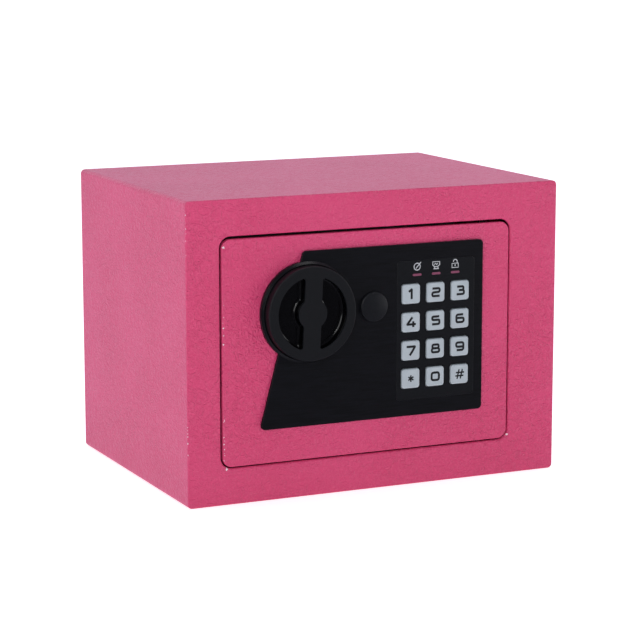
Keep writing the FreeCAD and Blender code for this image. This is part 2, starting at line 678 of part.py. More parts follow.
def override_cam():
    """Lifting arm on the plug's tail. It hangs down at rest and turns under the plunger's collar."""
    x, z = KEY_LOCK_X, KEY_LOCK_Z
    half = 2.5
    arm = disc(x, z, 4.6, OVERRIDE_CAM_D0, OVERRIDE_CAM_D1)
    arm = arm.fuse(block(x - half, x + half, OVERRIDE_CAM_D0, OVERRIDE_CAM_D1, z - OVERRIDE_ARM + half, z))
    arm = arm.fuse(disc(x, z - OVERRIDE_ARM + half, half, OVERRIDE_CAM_D0, OVERRIDE_CAM_D1))
    return arm.cut(square_rod(x, z, 1.93, OVERRIDE_CAM_D0 - 1, OVERRIDE_CAM_D1 + 1)).removeSplitter()


def override_cam_screw():
    """Holds the arm on the plug's tail."""
    return headed_screw(KEY_LOCK_X, KEY_LOCK_Z, 1.0, 12.2, OVERRIDE_CAM_D1, 3.4, 1.4)


def override_cap():
    """Push-in cap with a low dome, which hides the keyhole."""
    rest_d, edge_d, crown_d = -PANEL_T - 0.05, -PANEL_T - 1.5, -PANEL_T - 2.3
    x, z = KEY_LOCK_X, KEY_LOCK_Z
    rise = edge_d - crown_d
    dome_r = (CAP_R**2 + rise**2) / (2 * rise)
    ball = Part.makeSphere(dome_r, Vector(x, FRONT_Y + crown_d + dome_r, z))
    cap = disc(x, z, CAP_R, crown_d - 1, rest_d).common(ball)
    rim = [
        e
        for e in cap.Edges
        if e.Curve.TypeId == "Part::GeomCircle" and e.BoundBox.YMax < FRONT_Y + edge_d + 0.2
    ]
    cap = cap.makeFillet(0.6, rim)
    skirt = disc(x, z, CAP_SKIRT_R, rest_d, -0.1).cut(disc(x, z, CAP_SKIRT_R - 0.75, rest_d, 0))
    return cap.fuse(skirt).removeSplitter()


# ---------------------------------------------------------------- keypad
def key_places():
    """(name, x, z) of every key, row by row."""
    return [
        (name, KEY_X0 + column * KEY_PITCH_X, KEY_Z0 - row * KEY_PITCH_Z)
        for row, names in enumerate(KEY_NAMES)
        for column, name in enumerate(names)
    ]


def lens_places():
    return [(LENS_X0 + k * LENS_PITCH, LENS_Z) for k in range(3)]


def square_plate(x, z, side, d0, d1, radius):
    half = side / 2
    return plate(x - half, x + half, z - half, z + half, d0, d1, radius)


def keypad_bezel():
    """Frame around the keys, with a skirt through the door that carries the board."""
    bezel = plate(BEZEL_X0, BEZEL_X1, BEZEL_Z0, BEZEL_Z1, -BEZEL_PROUD, 0, 1.95)
    bezel = soften(bezel, 0.3, -BEZEL_PROUD)
    skirt = plate(SKIRT_X0, SKIRT_X1, SKIRT_Z0, SKIRT_Z1, 0, SKIRT_D, 1.2)
    inside = block(
        SKIRT_X0 + SKIRT_T, SKIRT_X1 - SKIRT_T, 0, SKIRT_D, SKIRT_Z0 + SKIRT_T, SKIRT_Z1 - SKIRT_T
    )
    bezel = bezel.fuse(skirt.cut(inside))
    for x, z in KEYPAD_SCREWS:
        bezel = bezel.fuse(disc(x, z, 2.0, 0, SKIRT_D)).cut(disc(x, z, 0.95, 0.4, SKIRT_D + 1))
    for _, x, z in key_places():
        hole = square_plate(x, z, KEY_SIDE + 2 * KEY_HOLE_GAP, -BEZEL_PROUD - 1, 1, KEY_R + KEY_HOLE_GAP)
        bezel = bezel.cut(hole)
    for x, z in lens_places():
        bezel = bezel.cut(lens(x, z, 0.03, -BEZEL_PROUD - 1, 1))
    return bezel.removeSplitter()


def lens(x, z, grow, d0, d1):
    """A round-ended bar, grown all round."""
    radius = LENS_HALF_Z + grow
    reach = LENS_HALF_X - LENS_HALF_Z
    return slot(x - reach, z, x + reach, z, radius, d0, d1)


def indicator_lenses():
    """Light guides over the three status lamps."""
    return together([lens(x, z, 0, -BEZEL_PROUD - 0.1, 1.4) for x, z in lens_places()])


def keycap(x, z):
    """A rounded square cap on a wider flange that keeps it behind the bezel."""
    cap = square_plate(x, z, KEY_SIDE, -KEY_PROUD, KEY_FLANGE_D0, KEY_R)
    cap = soften(cap, 0.5, -KEY_PROUD)
    return cap.fuse(square_plate(x, z, KEY_FLANGE, KEY_FLANGE_D0, KEY_FLANGE_D1, 1.0))


def keypad_membrane():
    """Silicone sheet with a dome under each key, drawn as pressed so that a key never meets it."""
    edge = SKIRT_T + 0.3
    sheet = plate(SKIRT_X0 + edge, SKIRT_X1 - edge, SKIRT_Z0 + edge, SKIRT_Z1 - edge, MEMBRANE_D, SKIRT_D, 1.0)
    for _, x, z in key_places():
        sheet = sheet.fuse(disc(x, z, 3.8, DOME_D, MEMBRANE_D))
    for x, z in lens_places():
        sheet = sheet.cut(disc(x, z, 1.7, MEMBRANE_D - 1, SKIRT_D + 1))
    for x, z in KEYPAD_SCREWS:
        sheet = sheet.cut(disc(x, z, 2.3, MEMBRANE_D - 1, SKIRT_D + 1))
    return sheet


def keypad_board():
    """Board behind the keys, with three lamps and the ribbon's socket."""
    d1 = SKIRT_D + KEYPAD_BOARD_T
    board = plate(SKIRT_X0, SKIRT_X1, SKIRT_Z0, SKIRT_Z1, SKIRT_D, d1, 1.2)
    for x, z in lens_places():
        board = board.fuse(disc(x, z, 1.5, 1.6, SKIRT_D))
    for x, z in KEYPAD_SCREWS:
        board = board.cut(disc(x, z, 1.1, SKIRT_D - 1, d1 + 1))
    return board.fuse(block(29, 43, d1, d1 + 3, 120, 124))


def keypad_board_screws():
    d1 = SKIRT_D + KEYPAD_BOARD_T
    return together([headed_screw(x, z, 0.9, 0.6, d1, 1.9, 1.2) for x, z in KEYPAD_SCREWS])


def keypad_ribbon():
    """Flat cable from the keypad board to the lock board: out, one bend, then down."""
    x0, x1, half = 30.0, 42.0, 0.3
    start_d, down_d, level, foot, bend = SKIRT_D + KEYPAD_BOARD_T + 3, 12.0, 122.0, 112.0, 3.0
    run = block(x0, x1, start_d, down_d - bend, level - half, level + half)
    drop = block(x0, x1, down_d - half, down_d + half, foot, level - bend)
    axis = Vector(1, 0, 0)
    centre = Vector(x0, FRONT_Y + down_d - bend, level - bend)
    outer = Part.makeCylinder(bend + half, x1 - x0, centre, axis)
    inner = Part.makeCylinder(bend - half, x1 - x0, centre, axis)
    quarter = block(x0, x1, down_d - bend, down_d + half, level - bend, level + half)
    return run.fuse(outer.cut(inner).common(quarter)).fuse(drop).removeSplitter()


# ---------------------------------------------------------------- lock board, cover and batteries
def main_board():
    """Lock circuit board with its sockets, chip, sounder and reset switch."""
    d0, d1 = BOARD_D, BOARD_D + BOARD_T
    board = plate(BOARD_X0, BOARD_X1, BOARD_Z0, BOARD_Z1, d0, d1, 1.5)
    ribbon_socket = block(29, 43, d0 - 4, d0, 108, 112)
    solenoid_socket = block(8, 16, d1, d1 + 4.5, 118, 122)
    battery_socket = block(22, 30, d1, d1 + 5, BOARD_Z0, BOARD_Z0 + 4)
    chip = block(20, 34, d1, d1 + 2.2, 116, 126)
    sounder = disc(24, 107, 6.0, d1, d1 + 6.5)
    capacitor = disc(40, 126, 3.2, d1, d1 + 8)
    reset_switch = block(RESET_X - 3, RESET_X + 3, d1, d1 + 3.4, RESET_Z - 3, RESET_Z + 3)
    for part in (ribbon_socket, solenoid_socket, battery_socket, chip, sounder, capacitor, reset_switch):
        board = board.fuse(part)
    for x, z in BOARD_PILLARS:
        board = board.cut(disc(x, z, 1.3, d0 - 1, d1 + 1))
    return board


def board_pillars():
    """Snap pillars from the door to the lock board."""
    made = []
    for x, z in BOARD_PILLARS:
        pillar = disc(x, z, 2.4, DOOR_T, BOARD_D).fuse(disc(x, z, 1.2, BOARD_D, BOARD_D + BOARD_T))
        made.append(pillar.fuse(disc(x, z, 1.7, BOARD_D + BOARD_T, BOARD_D + BOARD_T + 1.2)))
    return together(made)


def cover_posts():
    """Threaded posts welded to the door, under the cover's corners."""
    end = COVER_D - COVER_T
    made = []
    for x, z in COVER_POSTS:
        made.append(disc(x, z, POST_R, DOOR_T, end).cut(disc(x, z, 1.5, end - 8, end + 1)))
    return together(made)


def inner_cover():
    """Folded tray over the lock works, with holes for the bolts, batteries and reset button."""
    tray = plate(COVER_X0, COVER_X1, COVER_Z0, COVER_Z1, DOOR_T, COVER_D, 2.5)
    tray = soften(tray, 1.2, COVER_D)
    t = COVER_T
    inside = plate(COVER_X0 + t, COVER_X1 - t, COVER_Z0 + t, COVER_Z1 - t, DOOR_T - 1, COVER_D - t, 1.5)
    tray = tray.cut(inside)
    window = plate(
        BAY_X0 + BAY_T, BAY_X1 - BAY_T, BAY_Z0 + BAY_T, BAY_Z1 - BAY_T, COVER_D - 4, COVER_D + 1, 1.0
    )
    tray = tray.cut(window)
    for z in BOLT_Z:
        tray = tray.cut(bar(BOLT_D, z, BOLT_R + 0.6, COVER_X0 - 1, COVER_X0 + 4))
    for x, z in COVER_POSTS:
        tray = tray.cut(disc(x, z, 1.8, COVER_D - 3, COVER_D + 1))
    return tray.cut(disc(RESET_X, RESET_Z, RESET_R + 0.3, COVER_D - 3, COVER_D + 1))


def cover_screws():
    end = COVER_D - COVER_T
    return together([headed_screw(x, z, 1.45, end - 6, COVER_D, 3.0, 1.8) for x, z in COVER_POSTS])


def reset_button():
    """Stalk over the board's reset switch, with a collar that keeps it behind the cover."""
    tip = BOARD_D + BOARD_T + 3.4 + 1.2
    stalk = disc(RESET_X, RESET_Z, 1.6, tip, COVER_D - COVER_T - 1)
    stalk = stalk.fuse(disc(RESET_X, RESET_Z, 3.4, COVER_D - COVER_T - 1.2, COVER_D - COVER_T - 0.2))
    head = disc(RESET_X, RESET_Z, RESET_R, COVER_D - COVER_T - 0.2, COVER_D + 1.4)
    return stalk.fuse(soften(head, 0.5, COVER_D + 1.4))


def battery_tray():
    """Plastic tray for four cells, open towards the cover."""
    end = COVER_D - COVER_T
    tray = block(BAY_X0, BAY_X1, BAY_FLOOR_D, end, BAY_Z0, BAY_Z1)
    inside = block(
        BAY_X0 + BAY_T, BAY_X1 - BAY_T, BAY_FLOOR_D + 1.2, end + 1, BAY_Z0 + BAY_T, BAY_Z1 - BAY_T
    )
    tray = tray.cut(inside)
    for x in cell_places()[1:]:
        rib = x - CELL_PITCH / 2
        tray = tray.fuse(block(rib - 0.3, rib + 0.3, BAY_FLOOR_D, BAY_FLOOR_D + 4, BAY_Z0, BAY_Z1))
    return tray.removeSplitter()


def cell_places():
    """X of each cell's axis."""
    middle = (BAY_X0 + BAY_X1) / 2
    return [middle + (k - (CELL_COUNT - 1) / 2) * CELL_PITCH for k in range(CELL_COUNT)]


def flipped(shape, turn):
    """The shape, turned end for end about the bay's middle if turn is true."""
    if turn:
        shape.rotate(Vector(0, FRONT_Y + CELL_D, (BAY_Z0 + BAY_Z1) / 2), Vector(0, 1, 0), 180)
    return shape


def batteries():
    """Four AA cells, alternate ways up."""
    low = BAY_Z0 + BAY_T + 2.5
    made = []
    for k, x in enumerate(cell_places()):
        turned = k % 2 == 1
        at = x if not turned else -x
        cell = post(at, CELL_D, CELL_R, low, low + CELL_LENGTH)
        cell = cell.makeFillet(0.8, [e for e in cell.Edges if e.Curve.TypeId == "Part::GeomCircle"])
        cell = cell.fuse(post(at, CELL_D, 2.6, low + CELL_LENGTH, low + CELL_LENGTH + CELL_NUB))
        made.append(flipped(cell, turned))
    return together(made)


def battery_contacts():
    """A flat plate at each cell's button end and a coil spring at the other."""
    low, high = BAY_Z0 + BAY_T, BAY_Z1 - BAY_T
    made = []
    for k, x in enumerate(cell_places()):
        turned = k % 2 == 1
        at = x if not turned else -x
        made.append(flipped(block(at - 5, at + 5, CELL_D - 5, CELL_D + 5, high - 0.4, high), turned))
        foot = block(at - 5, at + 5, CELL_D - 5, CELL_D + 5, low, low + 0.4)
        made.append(flipped(foot, turned))
        made.append(flipped(coil(at, CELL_D, low + 0.45, low + 2.45, 3.2, 0.3, 2), turned))
    return together(made)


def battery_cover():
    """Lift-off lid over the bay, with a finger latch and gripping ribs."""
    over = 2.0
    face = COVER_D + 1.6
    x0, x1 = BAY_X0 - over, BAY_X1 + over
    z0, z1 = BAY_Z0 + 0.5, BAY_Z1 + over
    lid = soften(plate(x0, x1, z0, z1, COVER_D, face, 2.0), 0.5, face)
    inset = BAY_T + 0.3
    lip = plate(
        BAY_X0 + inset, BAY_X1 - inset, BAY_Z0 + inset, BAY_Z1 - inset, COVER_D - COVER_T, COVER_D, 0.8
    )
    lid = lid.fuse(lip)
    middle = (x0 + x1) / 2
    notch = plate(middle - 8, middle + 8, z1 - 6, z1 + 4, COVER_D + 0.7, COVER_D + 3, 1.5)
    lid = lid.cut(notch)
    for k in range(3):
        rib_z = z1 - 9 - 2.5 * k
        lid = lid.fuse(block(middle - 8, middle + 8, face - 0.1, face + 0.5, rib_z, rib_z + 1))
    return lid.removeSplitter()


def wire_leads():
    """The solenoid's and the battery tray's leads to the lock board's sockets."""
    coil_end = PLUNGER_X + SOLENOID_HALF - 1.9
    solenoid = ((coil_end, 12.0, 125), (2.2, 12.0, 125), (2.2, 18.0, 120), (8.0, 18.0, 120))
    above_bay = BAY_Z1 + 4.8
    battery = (
        (12.0, 19.0, BAY_Z1),
        (12.0, 19.0, above_bay),
        (26.0, 19.0, above_bay),
        (26.0, 19.0, BOARD_Z0),
    )
    return together([lead(solenoid, LEAD_R), lead(battery, LEAD_R)])


# ---------------------------------------------------------------- the whole assembly
def assembly():
    """Every node of the safe by name."""
    makers = (
        outer_shell,
        front_frame,
        back_panel,
        door_stop,
        hinge_brackets,
        floor_mat,
        door_plate,
        hinge_leaf,
        hinge_pins,
        control_panel,
        panel_screws,
        lock_knob,
        knob_spindle,
        spindle_clip,
        knob_cam,
        bolt_carriage,
        lock_bolts,
        bolt_rivets,
        carriage_studs,
        bolt_guide,
        solenoid_frame,
        solenoid_coil,
        solenoid_plunger,
        plunger_spring,
        override_barrel,
        override_nut,
        override_plug,
        override_cam,
        override_cam_screw,
        override_cap,
        keypad_bezel,
        indicator_lenses,
        keypad_membrane,
        keypad_board,
        keypad_board_screws,
        keypad_ribbon,
        main_board,
        board_pillars,
        cover_posts,
        inner_cover,
        cover_screws,
        reset_button,
        battery_tray,
        batteries,
        battery_contacts,
        battery_cover,
        wire_leads,
    )
    nodes = {maker.__name__: maker() for maker in makers}
    for name, x, z in key_places():
        nodes["key_" + name] = keycap(x, z)
    return nodes


def main():
    os.makedirs("parts", exist_ok=True)
    for name, shape in assembly().items():
        sound = shape.isValid() and all(s.isClosed() and s.Volume > 0 for s in shape.Solids)
        print(f"{name}: {len(shape.Solids)} solid(s), {shape.Volume:.1f} mm3, {'ok' if sound else 'NOT SOUND'}")
        shape.exportStep(f"parts/{name}.step")


main()
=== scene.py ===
"""Looks for a small electronic safe used as a money box.

Metres, in the CAD frame: +X to the right of someone facing the door, +Y into the cabinet, +Z up.
Depths are measured from the cabinet's front face, positive into the cabinet.
"""

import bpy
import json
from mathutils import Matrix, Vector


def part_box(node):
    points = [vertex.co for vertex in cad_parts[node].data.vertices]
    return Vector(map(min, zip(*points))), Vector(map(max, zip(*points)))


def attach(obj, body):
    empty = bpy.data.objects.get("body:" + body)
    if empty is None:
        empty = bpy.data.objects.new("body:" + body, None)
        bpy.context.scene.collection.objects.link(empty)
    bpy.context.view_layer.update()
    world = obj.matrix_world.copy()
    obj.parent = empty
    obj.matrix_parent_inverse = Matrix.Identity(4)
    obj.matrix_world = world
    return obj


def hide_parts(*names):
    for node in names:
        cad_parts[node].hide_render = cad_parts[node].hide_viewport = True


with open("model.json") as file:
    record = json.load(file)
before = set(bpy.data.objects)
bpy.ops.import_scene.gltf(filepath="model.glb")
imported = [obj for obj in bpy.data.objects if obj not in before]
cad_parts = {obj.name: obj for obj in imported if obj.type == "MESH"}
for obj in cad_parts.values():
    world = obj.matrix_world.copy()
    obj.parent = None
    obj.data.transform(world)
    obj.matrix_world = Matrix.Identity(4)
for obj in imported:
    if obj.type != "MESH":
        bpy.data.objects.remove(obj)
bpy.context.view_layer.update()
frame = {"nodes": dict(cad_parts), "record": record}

import json
import math

import bmesh
import bpy
from mathutils import Matrix, Vector, noise

MM = 0.001
SCENE = bpy.context.scene
NODES = frame["nodes"]

FACE_LOW, FACE_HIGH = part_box("front_frame")
FRONT_Y = FACE_LOW.y
FACE_T = FACE_HIGH.y - FACE_LOW.y
DOOR_LOW, DOOR_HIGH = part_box("door_plate")
BEZEL_FRONT_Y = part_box("keypad_bezel")[0].y
KNOB_LOW, KNOB_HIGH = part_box("lock_knob")
KNOB_POCKET_R = 20.8 * MM  # outer radius of the recesses either side of the grip
PANEL_T = 1.6 * MM  # how far the control panel stands in front of the face
KEY_NAMES = ("1", "2", "3", "4", "5", "6", "7", "8", "9", "star", "0", "hash")

# The door opening in the cabinet's face
OPENING_LOW = Vector((DOOR_LOW.x - 1.0 * MM, 0, DOOR_LOW.z - 0.8 * MM))
OPENING_HIGH = Vector((DOOR_HIGH.x + 1.0 * MM, 0, DOOR_HIGH.z + 1.5 * MM))
OPENING_R = 6.5 * MM
BEND_R = 2.5 * MM


# ---------------------------------------------------------------- shader graph helpers
RANGE_SOCKETS = ("From Min", "From Max", "To Min", "To Max")


class Graph:
    """A material's node tree, with short calls to add and join nodes."""

    def __init__(self, name):
        self.material = bpy.data.materials.new(name)
        self.material.use_nodes = True
        self.tree = self.material.node_tree
        self.shader = self.tree.nodes["Principled BSDF"]

    def node(self, kind, settings=None, **inputs):
        made = self.tree.nodes.new("ShaderNode" + kind)
        for key, value in (settings or {}).items():
            setattr(made, key, value)
        for key, value in inputs.items():
            self.put(made.inputs[key.replace("_", " ")], value)
        return made

    def put(self, socket, value):
        """Links a socket to another, or sets it."""
        if isinstance(value, bpy.types.NodeSocket):
            self.tree.links.new(value, socket)
        else:
            socket.default_value = value

    def place(self):
        """Object coordinates, in metres."""
        return self.node("TexCoord").outputs["Object"]

    def stretch(self, vector, scale):
        return self.node("Mapping", Vector=vector, Scale=scale).outputs["Vector"]

    def noise(self, vector, size, detail=2.0, roughness=0.5, distortion=0.0):
        """Noise from 0 to 1 whose grains are about size metres across."""
        made = self.node("TexNoise", Vector=vector, Scale=1 / size, Detail=detail)
        made.inputs["Roughness"].default_value = roughness
        made.inputs["Distortion"].default_value = distortion
        return made.outputs["Fac"]

    def cells(self, vector, size, feature):
        """Distance to the nearest of points about size metres apart, in cells."""
        made = self.node("TexVoronoi", {"feature": feature}, Vector=vector, Scale=1 / size)
        return made.outputs["Distance"]

    def math(self, operation, a, b=0.0):
        made = self.node("Math", {"operation": operation})
        self.put(made.inputs[0], a)
        self.put(made.inputs[1], b)
        return made.outputs[0]

    def ramp(self, value, low, high, out_low=0.0, out_high=1.0):
        """Maps low..high smoothly to out_low..out_high."""
        made = self.node("MapRange", {"interpolation_type": "SMOOTHSTEP"}, Value=value)
        for key, number in zip(RANGE_SOCKETS, (low, high, out_low, out_high)):
            made.inputs[key].default_value = number
        return made.outputs["Result"]

    def mix(self, share, a, b):
        """Colour a where share is 0 and b where it is 1."""
        made = self.node("Mix", {"data_type": "RGBA"})
        for socket, value in ((made.inputs["Factor"], share), (made.inputs[6], a), (made.inputs[7], b)):
            self.put(socket, value)
        return made.outputs[2]

    def split(self, vector):
        return self.node("SeparateXYZ", Vector=vector).outputs

    def set(self, **inputs):
        for key, value in inputs.items():
            self.put(self.shader.inputs[key.replace("_", " ")], value)

    def bump(self, height, depth, strength=1.0, under=None):
        """Bump of a given depth in metres, over another bump if there is one."""
        made = self.node("Bump", Strength=strength, Distance=depth, Height=height)
        if under is not None:
            self.put(made.inputs["Normal"], under)
        return made.outputs["Normal"]


def rgb(red, green, blue):
    return (red, green, blue, 1.0)


# ---------------------------------------------------------------- materials
PINK = rgb(0.625, 0.046, 0.152)
PINK_DEEP = rgb(0.60, 0.040, 0.138)
PRIMER = rgb(0.85, 0.72, 0.76)


def from_line(g, place, first, second):
    """Distance in metres from a straight line. first and second are (axis name, place on that axis)."""
    axes = g.split(place)
    squares = []
    for axis, value in (first, second):
        offset = g.math("SUBTRACT", axes[axis], value)
        squares.append(g.math("MULTIPLY", offset, offset))
    return g.math("SQRT", g.math("ADD", *squares))


def worn_line(g, place, colour, x, y):
    """Dots of primer in short runs along an upright edge at x, y."""
    reach = 0.55 * MM
    dots = g.ramp(g.noise(place, 1.3 * MM, detail=1.0), 0.60, 0.66)
    runs = g.ramp(g.noise(place, 26 * MM, detail=0.0), 0.50, 0.56)
    near = g.ramp(from_line(g, place, ("X", x), ("Y", y)), reach * 0.5, reach, 1.0, 0.0)
    worn = g.math("MULTIPLY", g.math("MULTIPLY", near, dots), runs)
    return g.mix(worn, colour, PRIMER)


def chip(g, place, colour, point, reach):
    """One ragged spot of primer."""
    away = g.node("VectorMath", {"operation": "DISTANCE"})
    g.put(away.inputs[0], place)
    g.put(away.inputs[1], point)
    ragged = g.math("MULTIPLY", g.noise(place, 0.9 * MM, detail=1.0), reach * 1.6)
    blurred = g.math("ADD", away.outputs["Value"], ragged)
    bare = g.ramp(blurred, reach * 1.25, reach * 1.6, 1.0, 0.0)
    return g.mix(bare, colour, PRIMER)


def powder_coat(name, chipped_lines=(), chips=()):
    """Pink powder coat: fine wrinkles, slight mottling, a few specks, painted highlight on the bump tops,
    and primer where it chipped.
    """
    g = Graph(name)
    place = g.place()
    swell = g.noise(place, 3.6 * MM, detail=1.5, distortion=0.7)
    folds = g.math("ABSOLUTE", g.math("SUBTRACT", swell, 0.5))
    wrinkle = g.ramp(folds, 0.0, 0.09, 1.0, 0.0)
    peel = g.noise(place, 1.15 * MM, detail=1.0, distortion=0.5)
    patches = g.ramp(g.noise(place, 60 * MM, detail=1.0), 0.35, 0.65, 0.7, 1.0)
    normal = g.bump(wrinkle, 0.24 * MM, patches)
    normal = g.bump(peel, 0.46 * MM, 0.9, normal)
    mottle = g.ramp(g.noise(place, 55 * MM, detail=2.0), 0.3, 0.7)
    colour = g.mix(mottle, PINK, PINK_DEEP)
    grain = g.ramp(g.noise(place, 0.45 * MM, detail=1.0), 0.35, 0.75, 0.0, 0.10)
    colour = g.mix(grain, colour, rgb(0.72, 0.10, 0.22))
    # Painted highlight: the tops of the peel bumps are coloured lighter, as if lit.
    crest_highlight = g.math("MULTIPLY", g.ramp(peel, 0.48, 0.70, 0.0, 0.32), patches)
    colour = g.mix(crest_highlight, colour, rgb(0.74, 0.105, 0.235))
    speck = g.ramp(g.cells(place, 14.5 * MM, "F1"), 0.012, 0.022, 0.55, 0.0)
    colour = g.mix(speck, colour, rgb(0.14, 0.01, 0.03))
    for x, y in chipped_lines:
        colour = worn_line(g, place, colour, x, y)
    for point, reach in chips:
        colour = chip(g, place, colour, point, reach)
    gloss = g.ramp(g.noise(place, 3.0 * MM, detail=2.0), 0.25, 0.75, 0.36, 0.44)
    g.set(Base_Color=colour, Roughness=gloss, Normal=normal)
    g.set(Specular_IOR_Level=0.5)
    return g.material


def satin_black(name, colour, roughness, specular=0.3, brushed=True, shiny=None):
    """Black moulding with a fine grain. It may be brushed sideways, and shiny in front of the Y shiny."""
    g = Graph(name)
    place = g.place()
    fine = g.noise(place, 0.35 * MM, detail=2.0)
    normal = g.bump(fine, 0.02 * MM, 0.5)
    tint = g.ramp(fine, 0.3, 0.7)
    if brushed:
        sideways = g.stretch(place, (1 / 30.0, 1.0, 1.0))
        lines = g.noise(sideways, 0.5 * MM, detail=3.0, roughness=0.7)
        normal = g.bump(lines, 0.09 * MM, 0.8, normal)
        tint = g.ramp(lines, 0.35, 0.65)
    lighter = rgb(*(2.4 * c for c in colour[:3]))
    shade = g.mix(tint, colour, lighter)
    gloss = g.ramp(fine, 0.2, 0.8, roughness - 0.04, roughness + 0.06)
    if shiny is not None:
        raised = g.ramp(g.split(place)["Y"], shiny - 0.2 * MM, shiny, 1.0, 0.0)
        shade = g.mix(raised, shade, rgb(*(0.5 * c for c in colour[:3])))
        gloss = g.math("SUBTRACT", gloss, g.math("MULTIPLY", raised, roughness * 0.55))
    g.set(Base_Color=shade, Normal=normal, Roughness=gloss)
    g.set(Specular_IOR_Level=specular)
    return g.material


def knob_plastic():
    """Matte rim and grip; glossy recesses whose darker colour is painted shade, told apart by depth and
    by distance from the axis.
    """
    g = Graph("knob_plastic")
    place = g.place()
    centre = (KNOB_LOW + KNOB_HIGH) / 2
    away = from_line(g, place, ("X", centre.x), ("Z", centre.z))
    inside = g.ramp(away, KNOB_POCKET_R + 0.2 * MM, KNOB_POCKET_R + 0.8 * MM, 1.0, 0.0)
    sunk = g.ramp(g.split(place)["Y"], KNOB_LOW.y + 0.9 * MM, KNOB_LOW.y + 1.5 * MM)
    recess_gloss_and_shade = g.math("MULTIPLY", sunk, inside)
    fine = g.noise(place, 0.3 * MM, detail=2.0)
    # Painted shade: the recesses get a darker colour; their lower roughness below is the real gloss.
    g.set(Base_Color=g.mix(recess_gloss_and_shade, rgb(0.0038, 0.0046, 0.0068), rgb(0.0010, 0.0010, 0.0014)))
    matte = g.ramp(fine, 0.2, 0.8, 0.52, 0.62)
    sheen_break = g.math("MULTIPLY", recess_gloss_and_shade, 0.46)
    g.set(Roughness=g.math("SUBTRACT", matte, sheen_break), Normal=g.bump(fine, 0.015 * MM, 0.6))
    g.set(Specular_IOR_Level=0.30)
    return g.material


def key_plastic():
    """Light cool grey, with a trace of a moulding grain."""
    g = Graph("key_plastic")
    place = g.place()
    fine = g.noise(place, 0.4 * MM, detail=2.0)
    cloud = g.ramp(g.noise(place, 7 * MM, detail=1.0), 0.3, 0.7)
    g.set(Base_Color=g.mix(cloud, rgb(0.37, 0.42, 0.45), rgb(0.39, 0.44, 0.47)))
    g.set(Roughness=g.ramp(fine, 0.2, 0.8, 0.36, 0.46), Normal=g.bump(fine, 0.012 * MM, 0.5))
    return g.material


def ink(name, colour, roughness=0.5):
    """Printed legend, slightly uneven."""
    g = Graph(name)
    spread = g.noise(g.place(), 0.5 * MM, detail=1.0)
    darker = rgb(*(0.8 * c for c in colour[:3]))
    g.set(Base_Color=g.mix(spread, darker, colour))
    g.set(Roughness=g.ramp(spread, 0.2, 0.8, roughness, roughness + 0.1))
    return g.material


def lens_red():
    """Translucent red light guide, unlit."""
    g = Graph("lens_red")
    cloud = g.noise(g.place(), 1.2 * MM, detail=1.0)
    g.set(Base_Color=g.mix(cloud, rgb(0.19, 0.042, 0.092), rgb(0.24, 0.062, 0.115)))
    g.set(Roughness=g.ramp(cloud, 0.2, 0.8, 0.30, 0.42))
    g.set(Coat_Weight=0.3)
    return g.material


def metal(name, colour, roughness, streak=0.25, lines=(1.0, 1.0, 1.0)):
    """Plated metal with faint drawn lines and uneven gloss."""
    g = Graph(name)
    place = g.place()
    drawn = g.noise(g.stretch(place, lines), 0.35 * MM, detail=3.0, roughness=0.6)
    cloud = g.noise(place, 6 * MM, detail=2.0)
    dull = rgb(*(0.78 * c for c in colour[:3]))
    g.set(Base_Color=g.mix(g.ramp(cloud, 0.3, 0.8), colour, dull))
    g.set(Roughness=g.ramp(drawn, 0.3, 0.7, roughness, roughness + streak))
    g.set(Normal=g.bump(drawn, 0.01 * MM, 0.4))
    g.set(Metallic=1.0)
    return g.material


def moulded(name, colour, roughness):
    """Plain moulded plastic or rubber with a spark-eroded grain."""
    g = Graph(name)
    place = g.place()
    fine = g.noise(place, 0.35 * MM, detail=2.0)
    cloud = g.noise(place, 12 * MM, detail=1.0)
    lighter = rgb(*(min(1.0, 1.18 * c) for c in colour[:3]))
    g.set(Base_Color=g.mix(g.ramp(cloud, 0.3, 0.7), colour, lighter))
    g.set(Roughness=g.ramp(fine, 0.2, 0.8, roughness - 0.05, roughness + 0.08))
    g.set(Normal=g.bump(fine, 0.02 * MM, 0.6))
    return g.material


def circuit_green():
    """Solder mask with faint tracks under it."""
    g = Graph("circuit_green")
    place = g.place()
    long_cells = g.cells(g.stretch(place, (1.0, 1.0, 0.25)), 1.6 * MM, "DISTANCE_TO_EDGE")
    tracks = g.ramp(long_cells, 0.04, 0.09)
    g.set(Base_Color=g.mix(tracks, rgb(0.010, 0.11, 0.035), rgb(0.006, 0.060, 0.020)))
    g.set(Roughness=g.ramp(tracks, 0.0, 1.0, 0.28, 0.36), Normal=g.bump(tracks, 0.03 * MM, 0.5))
    return g.material


def felt():
    """Needle felt: short tangled fibres with a soft sheen."""
    g = Graph("felt")
    place = g.place()
    combed = g.stretch(place, (1.0, 0.35, 1.0))
    fibre = g.noise(combed, 0.5 * MM, detail=4.0, roughness=0.75, distortion=1.5)
    tuft = g.noise(place, 3.5 * MM, detail=2.0)
    g.set(Base_Color=g.mix(fibre, rgb(0.012, 0.012, 0.014), rgb(0.055, 0.054, 0.058)))
    g.set(Roughness=g.ramp(fibre, 0.2, 0.8, 0.85, 1.0))
    g.set(Normal=g.bump(fibre, 0.25 * MM, 0.9, g.bump(tuft, 0.4 * MM, 0.5)))
    g.set(Sheen_Weight=0.35, Sheen_Roughness=0.5)
    return g.material


